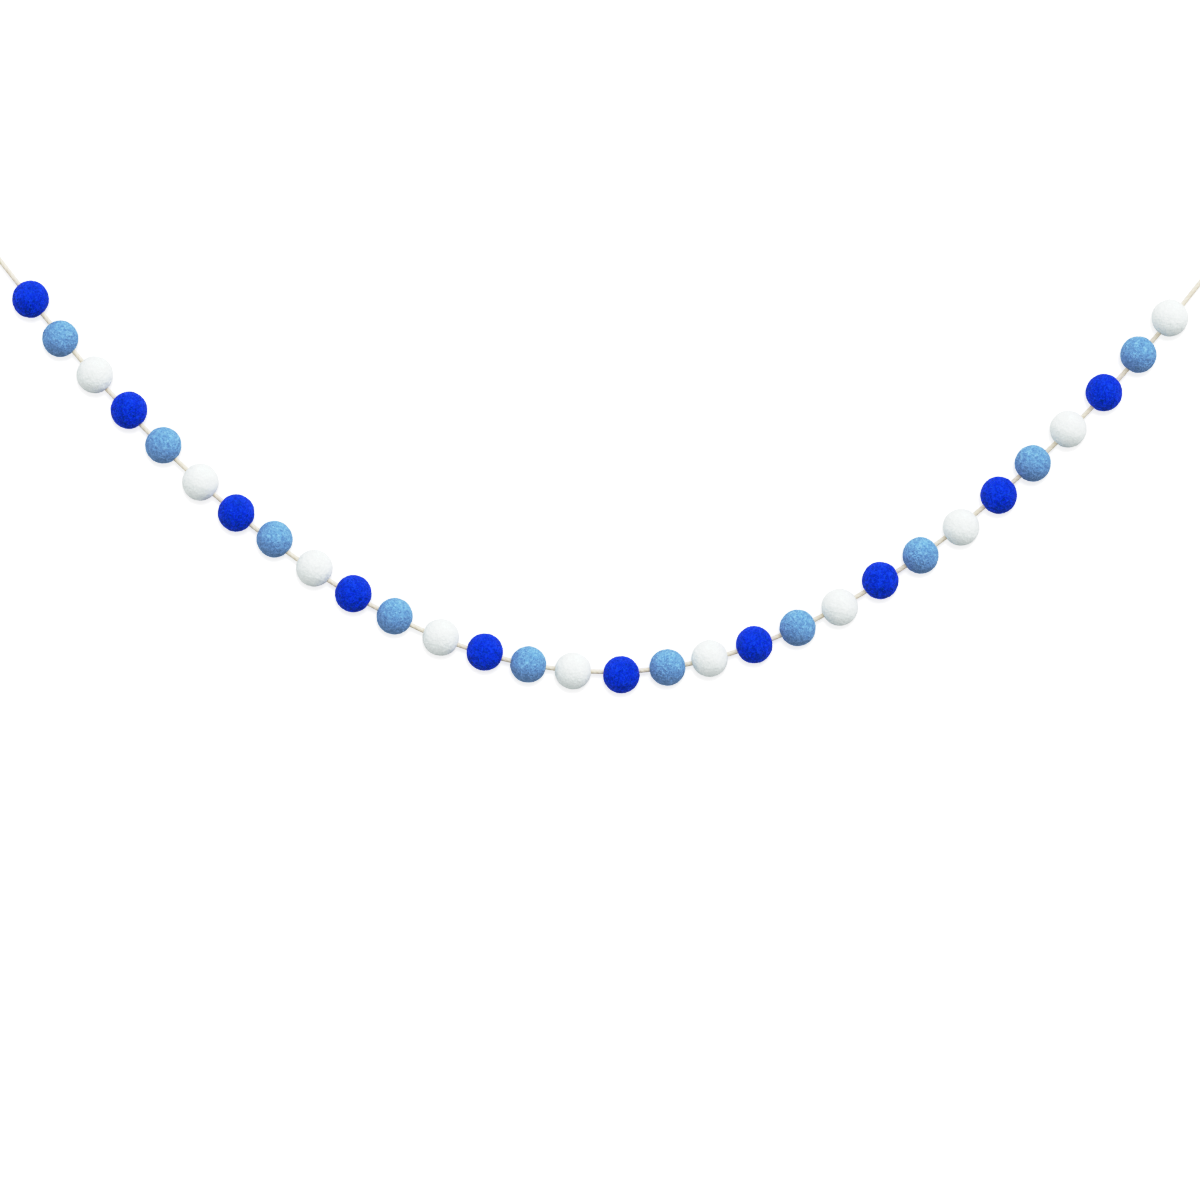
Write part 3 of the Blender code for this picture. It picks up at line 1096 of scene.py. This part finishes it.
@dataclass(frozen=True)
class Felting:
    """What felting does to a plain ball: slow lumps, tight curls, a dent at each hole, and stray fibres."""

    curls: Curls = Curls()
    lump_depth: float = 0.36 * MM
    lump_grain: float = 8.0 * MM
    curl_depth: float = 0.24 * MM
    curl_width: float = 0.13
    dent_depth: float = 0.12 * MM
    dent_reach: float = 3.2 * MM
    rim: float = 0.02 * MM
    rim_reach: float = 0.6 * MM
    strays: int = 340
    stray_size: tuple[float, float] = (0.6, 1.25)

    def group(self) -> NodeTree:
        """Builds the geometry group.

        Returns:
            The group, with the ball and where its cord runs as inputs.
        """
        inputs = {"Geometry": Kind.GEOMETRY, "Cord Point": Kind.VECTOR, "Cord Direction": Kind.VECTOR,
                  "Fibres": Kind.COLLECTION, "Stray Density": Kind.NUMBER, "Seed": Kind.COUNT}
        outputs = {"Geometry": Kind.GEOMETRY}
        sheet, given, result = new_group("felting", "GeometryNodeTree", inputs, outputs)
        place = sheet.add("GeometryNodeInputPosition").outputs[0]
        from_cord = self.distance_from_cord(sheet, given, place)
        on_skin = sheet.ramp(from_cord, BORE_RADIUS + self.rim, BORE_RADIUS + self.rim_reach)
        lumps = sheet.ramp(sheet.noise(place, self.lump_grain, 1.0).outputs[0], 0.2, 0.8,
                           -self.lump_depth / 2, self.lump_depth / 2, "LINEAR")
        curl = sheet.math("SUBTRACT", self.curls.strands(sheet, place, self.curl_width), 0.5)
        relief = sheet.math("ADD", lumps, sheet.math("MULTIPLY", curl, self.curl_depth))
        dent = sheet.ramp(from_cord, BORE_RADIUS, self.dent_reach, -self.dent_depth, 0.0)
        height = sheet.math("ADD", sheet.math("MULTIPLY", relief, on_skin), dent)
        offset = sheet.scaled(self.way_out(sheet, given, place, on_skin), height)
        kept = sheet.keep(given.outputs["Geometry"], "spot", place, "FLOAT_VECTOR")
        felted = sheet.add("GeometryNodeSetPosition", {"Geometry": kept, "Offset": offset}).outputs[0]
        marked = sheet.keep(felted, "stray", 0.0, "FLOAT")
        strays = self.stray_fibres(sheet, given, felted)
        joined = sheet.add("GeometryNodeJoinGeometry")
        for part in (marked, strays):
            sheet.tree.links.new(part, joined.inputs[0])
        sheet.feed(result, {"Geometry": joined.outputs[0]})
        return sheet.tree

    def distance_from_cord(self, sheet: NodeSheet, given: Node, place: NodeSocket) -> NodeSocket:
        """Measures from the cord's middle line.

        Args:
            sheet: the group being wired up.
            given: its input node.
            place: the points' places.

        Returns:
            How far each point is from the line.
        """
        reach = sheet.vector("SUBTRACT", place, given.outputs["Cord Point"])
        square = sheet.vector("CROSS_PRODUCT", reach, given.outputs["Cord Direction"])
        return sheet.value_of("LENGTH", square)

    def way_out(self, sheet: NodeSheet, given: Node, place: NodeSocket, on_skin: NodeSocket) -> NodeSocket:
        """Works out which way the surface is pushed.

        Args:
            sheet: the group being wired up.
            given: its input node.
            place: the points' places.
            on_skin: 1 on the ball's skin, and 0 at the bore's rim and inside it.

        Returns:
            The direction: along the skin's normal, and along the cord at the bore's rim.
        """
        reach = sheet.vector("SUBTRACT", place, given.outputs["Cord Point"])
        ahead = sheet.value_of("DOT_PRODUCT", reach, given.outputs["Cord Direction"])
        along = sheet.scaled(given.outputs["Cord Direction"], sheet.math("SIGN", ahead))
        normal = sheet.add("GeometryNodeInputNormal").outputs[0]
        mixed = sheet.add("ShaderNodeMix", {0: on_skin, 4: along, 5: normal}, data_type="VECTOR").outputs[1]
        return sheet.vector("NORMALIZE", mixed)

    def stray_fibres(self, sheet: NodeSheet, given: Node, felted: NodeSocket) -> NodeSocket:
        """Scatters stray fibres over the felt.

        Args:
            sheet: the group being wired up.
            given: its input node.
            felted: the ball with its relief.

        Returns:
            The fibres, realized as mesh.
        """
        seed = given.outputs["Seed"]
        place = sheet.add("GeometryNodeInputPosition").outputs[0]
        clear = sheet.math("GREATER_THAN", self.distance_from_cord(sheet, given, place),
                           BORE_RADIUS + self.rim_reach)
        spots = sheet.add("GeometryNodeDistributePointsOnFaces",
                          {"Mesh": felted, "Selection": clear, "Density": given.outputs["Stray Density"],
                           "Seed": seed}, distribute_method="RANDOM")
        spin = sheet.random_number(0.0, math.tau, seed)
        turn = sheet.add("FunctionNodeAxisAngleToRotation",
                         {"Axis": (0.0, 0.0, 1.0), "Angle": spin}).outputs[0]
        facing = sheet.add("FunctionNodeRotateRotation",
                           {"Rotation": spots.outputs["Rotation"], "Rotate By": turn},
                           rotation_space="LOCAL").outputs[0]
        size = sheet.random_number(*self.stray_size, seed)
        shapes = sheet.add("GeometryNodeCollectionInfo",
                           {"Collection": given.outputs["Fibres"], "Separate Children": True,
                            "Reset Children": True}).outputs[0]
        laid = sheet.add("GeometryNodeInstanceOnPoints",
                         {"Points": spots.outputs["Points"], "Instance": shapes, "Pick Instance": True,
                          "Rotation": facing, "Scale": size}).outputs[0]
        real = sheet.add("GeometryNodeRealizeInstances", {"Geometry": laid}).outputs[0]
        placed = sheet.keep(real, "spot", place, "FLOAT_VECTOR")
        return sheet.keep(placed, "stray", 1.0, "FLOAT")


@dataclass
class FeltBall:
    """One felted ball, bored for the cord."""

    place: BallPlace
    felt: Felt
    width: float
    height: float
    felting: Felting
    group: NodeTree
    fibres: Collection
    material: Material
    subdivisions: int = 6
    bore_sides: int = 20
    drill_reach: float = 1.4
    smooth_angle: float = math.radians(60)

    @property
    def node(self) -> str:
        """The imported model's node that the ball stands for."""
        return f"ball_{self.place.number:02d}_{self.felt.value}"

    def build(self) -> Object:
        """Builds the ball from an icosphere.

        Returns:
            The finished piece, at the origin with its place in its mesh.
        """
        select_only()
        bpy.ops.mesh.primitive_ico_sphere_add(subdivisions=self.subdivisions, radius=0.5, calc_uvs=True,
                                              location=self.place.centre,
                                              scale=(self.width, self.width, self.height))
        ball = bpy.context.object
        ball.name = f"felt_{self.node}"
        bpy.ops.object.transform_apply(location=True, rotation=True, scale=True)
        ball.data.uv_layers[0].name = BAKE_MAP
        self.bore(ball)
        self.felt_over(ball)
        ball.data.materials.clear()
        ball.data.materials.append(self.material)
        select_only(ball)
        bpy.ops.object.shade_smooth_by_angle(angle=self.smooth_angle)
        return ball

    def bore(self, ball: Object) -> None:
        """Cuts the hole that the cord passes through.

        Args:
            ball: the plain ball.
        """
        select_only()
        turn = self.place.cord_direction.to_track_quat("Z", "Y").to_euler()
        bpy.ops.mesh.primitive_cylinder_add(vertices=self.bore_sides, radius=BORE_RADIUS,
                                            depth=self.width * self.drill_reach,
                                            location=self.place.cord_point, rotation=turn)
        drill = bpy.context.object
        select_only(ball)
        hole = ball.modifiers.new("bore", "BOOLEAN")
        hole.operation = "DIFFERENCE"
        hole.object = drill
        hole.solver = "EXACT"
        bpy.ops.object.modifier_apply(modifier=hole.name)
        remove_object(drill)

    def felt_over(self, ball: Object) -> None:
        """Gives the ball its lumps, curls, dents and stray fibres.

        Args:
            ball: the bored ball.
        """
        area = 4 * math.pi * (self.width / 2) ** 2
        values = {"Cord Point": self.place.cord_point, "Cord Direction": self.place.cord_direction,
                  "Fibres": self.fibres, "Stray Density": self.felting.strays / area,
                  "Seed": self.place.number}
        select_only(ball)
        nodes = ball.modifiers.new("felting", "NODES")
        nodes.node_group = self.group
        for item in self.group.interface.items_tree:
            if item.name in values:
                nodes[item.identifier] = values[item.name]
        bpy.ops.object.modifier_apply(modifier=nodes.name)


@dataclass
class BallSet:
    """All the felt balls, in the order in which their colours repeat."""

    swag: Swag
    felting: Felting = field(default_factory=Felting)

    def build(self) -> list[Object]:
        """Builds every ball.

        Returns:
            The balls, from the left.
        """
        wool = WoolPattern(self.felting.curls).group()
        materials = {felt: finish.material(wool) for felt, finish in FELT_FINISHES.items()}
        group = self.felting.group()
        fibres = FibreShapes().build()
        balls = []
        for place in self.swag.ball_places():
            felt = list(Felt)[(place.number - 1) % len(Felt)]
            width, height = BALL_SIZES[felt]
            ball = FeltBall(place, felt, width, height, self.felting, group, fibres, materials[felt])
            piece = ball.build()
            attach(piece, BODY)
            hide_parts(ball.node)
            balls.append(piece)
        for fibre in list(fibres.objects):
            remove_object(fibre)
        bpy.data.collections.remove(fibres)
        return balls


@dataclass(frozen=True)
class Studio:
    """A pale one-sided backdrop close behind the balls, a pale floor, soft light and the camera."""

    middle: Vector
    view_width: float = 819.7 * MM
    camera_distance: float = 7.0
    sensor: float = 36.0
    wall_behind: float = 13.0 * MM
    wall_size: float = 3.0
    floor_level: float = -0.80
    floor_size: float = 8.0
    front_sun: float = 0.85
    wall_sun: float = 0.85
    front_angle: float = math.radians(9.0)
    front_way: Vector = field(default_factory=lambda: Vector((0.04, -1.0, 0.19)))
    high_sun: float = 2.1
    high_angle: float = math.radians(45.0)
    high_way: Vector = field(default_factory=lambda: Vector((0.5, -0.75, 1.0)))
    room_below: float = 0.42
    room_above: float = 0.94
    room_sides: float = 0.42
    paper: Colour = (0.925, 0.918, 0.902)
    paper_glow: float = 0.47
    paper_grain: float = 4.0 * MM
    floor_paper: Colour = (0.94, 0.94, 0.94)
    sky: float = 1.4
    film: tuple[tuple[float, float], ...] = (
        (0.1, 0.085), (0.2, 0.175), (0.3, 0.29), (0.4, 0.425), (0.5, 0.56),
        (0.6, 0.66), (0.75, 0.785), (1.0, 0.90), (1.2, 0.96), (1.3, 1.0))

    def build(self) -> None:
        """Sets everything up."""
        self.set_camera()
        self.load_film()
        backdrop = self.hang_backdrop()
        self.lay_floor()
        front = self.shine(self.front_way, self.front_sun, self.front_angle, "front_sun")
        front.visible_glossy = False
        high = self.shine(self.high_way, self.high_sun, self.high_angle, "high_sun")
        wall = self.shine(self.front_way, self.wall_sun, self.front_angle, "wall_sun")
        self.aim(high, backdrop, "EXCLUDE")
        self.aim(wall, backdrop, "INCLUDE")
        self.light_room()

    def set_camera(self) -> None:
        """Places a long lens square in front of the swag."""
        camera = bpy.data.cameras.new("camera")
        camera.sensor_width = self.sensor
        camera.lens = self.sensor * self.camera_distance / self.view_width
        camera.clip_end = 100.0
        holder = bpy.data.objects.new("camera", camera)
        holder.location = self.middle + Vector((0.0, -self.camera_distance, 0.0))
        holder.rotation_euler = (math.radians(90.0), 0.0, 0.0)
        bpy.context.scene.collection.objects.link(holder)
        bpy.context.scene.camera = holder

    def load_film(self) -> None:
        """Gives the picture crisp middle tones, and a soft shoulder that keeps the white wool's shape."""
        view = bpy.context.scene.view_settings
        view.view_transform = "Standard"
        view.use_curve_mapping = True
        mapping = view.curve_mapping
        mapping.clip_max_x = self.film[-1][0]
        curve = mapping.curves[3]
        curve.points[-1].location = self.film[-1]
        for point in self.film[:-1]:
            curve.points.new(*point)
        mapping.update()

    def sheet_material(self, name: str, colour: Colour, glow: float, one_sided: bool) -> Material:
        """Makes a matt pale paper.

        Args:
            name: the material's name.
            colour: its colour.
            glow: how much light it adds of its own.
            one_sided: whether it can be seen through from behind.

        Returns:
            The material.
        """
        material, sheet, shader = new_material(name)
        place = sheet.add("ShaderNodeTexCoord").outputs["Object"]
        tooth = sheet.noise(place, self.paper_grain, 2.0).outputs["Fac"]
        tint = sheet.blend(tooth, (*(c * 0.99 for c in colour), 1.0), (*colour, 1.0))
        sheet.feed(shader, {"Base Color": tint, "Roughness": 1.0, "Specular IOR Level": 0.0,
                            "Emission Color": (1.0, 1.0, 1.0, 1.0), "Emission Strength": glow})
        if one_sided:
            behind = sheet.add("ShaderNodeNewGeometry").outputs["Backfacing"]
            clear = sheet.add("ShaderNodeBsdfTransparent").outputs[0]
            either = sheet.add("ShaderNodeMixShader", {0: behind, 1: shader.outputs[0], 2: clear})
            sheet.feed(material.node_tree.nodes["Material Output"], {"Surface": either.outputs[0]})
        return material

    def add_sheet(self, name: str, size: float, place: Vector, tilt: float, material: Material) -> Object:
        """Adds a flat sheet of the stage that neither shades nor lights the garland.

        Args:
            name: its name.
            size: how long its sides are.
            place: its middle.
            tilt: how far it is turned up from the level.
            material: its paper.

        Returns:
            The sheet.
        """
        select_only()
        bpy.ops.mesh.primitive_plane_add(size=size, location=place, rotation=(tilt, 0.0, 0.0))
        sheet = bpy.context.object
        sheet.name = name
        sheet.data.materials.append(material)
        sheet.visible_diffuse = False
        sheet.visible_glossy = False
        sheet.visible_shadow = False
        return sheet

    def hang_backdrop(self) -> Object:
        """Hangs the backdrop so that it faces the camera.

        Returns:
            The backdrop.
        """
        paper = self.sheet_material("backdrop paper", self.paper, self.paper_glow, True)
        place = self.middle + Vector((0.0, self.wall_behind, 0.0))
        return self.add_sheet("backdrop", self.wall_size, place, math.radians(90.0), paper)

    def lay_floor(self) -> None:
        """Lays the floor, well below the swag."""
        paper = self.sheet_material("floor paper", self.floor_paper, 0.0, False)
        place = Vector((self.middle.x, 0.0, self.floor_level))
        self.add_sheet("floor", self.floor_size, place, 0.0, paper)

    def aim(self, light: Object, backdrop: Object, state: str) -> None:
        """Keeps a light off the backdrop or on it alone, so that the garland casts one close shadow there.

        Args:
            light: the light.
            backdrop: the backdrop.
            state: EXCLUDE to keep the light off it, or INCLUDE to keep it on it alone.
        """
        receivers = bpy.data.collections.new(f"receivers of {light.name}")
        receivers.objects.link(backdrop)
        receivers.collection_objects[0].light_linking.link_state = state
        light.light_linking.receiver_collection = receivers

    def shine(self, towards: Vector, strength: float, angle: float, name: str) -> Object:
        """Adds a distant soft light.

        Args:
            towards: the direction from the garland to the light.
            strength: how bright it is.
            angle: how wide it is across, which softens its shadows.
            name: its name.

        Returns:
            The light.
        """
        light = bpy.data.lights.new(name, "SUN")
        light.energy = strength
        light.angle = angle
        holder = bpy.data.objects.new(name, light)
        holder.rotation_euler = towards.to_track_quat("Z", "Y").to_euler()
        bpy.context.scene.collection.objects.link(holder)
        return holder

    def light_room(self) -> None:
        """Fills the room with white light, mostly from above and the sides, behind a white sky."""
        world = bpy.data.worlds.new("white room")
        world.use_nodes = True
        bpy.context.scene.world = world
        sheet = NodeSheet(world.node_tree)
        toward = sheet.add("ShaderNodeTexCoord").outputs["Generated"]
        parts = sheet.add("ShaderNodeSeparateXYZ", {0: toward}).outputs
        upward = sheet.ramp(parts["Z"], -0.9, 1.0, self.room_below, self.room_above)
        sideways = sheet.ramp(sheet.math("ABSOLUTE", parts["X"]), 0.3, 1.0, 0.0, self.room_sides)
        level = sheet.math("ADD", upward, sideways)
        seen = sheet.add("ShaderNodeLightPath").outputs["Is Camera Ray"]
        strength = sheet.add("ShaderNodeMix", {0: seen, 2: level, 3: self.sky},
                             data_type="FLOAT").outputs[0]
        sheet.feed(world.node_tree.nodes["Background"],
                   {"Color": (1.0, 1.0, 1.0, 1.0), "Strength": strength})


def report(piece: Object) -> None:
    """Reports one piece's size in the log."""
    triangles = sum(len(face.vertices) - 2 for face in piece.data.polygons)
    LOG.info("%s: %d vertices, %d triangles", piece.name, len(piece.data.vertices), triangles)


def main() -> None:
    """Builds the garland and its studio in order, and reports each piece."""
    logging.basicConfig(level=logging.INFO, format="%(name)s: %(message)s")
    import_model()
    swag = Swag()
    Studio(swag.middle).build()
    pieces = GarlandCord(swag, CottonFinish().material()).build()
    pieces += BallSet(swag).build()
    for piece in pieces:
        report(piece)


if __name__ == "__main__":
    main()
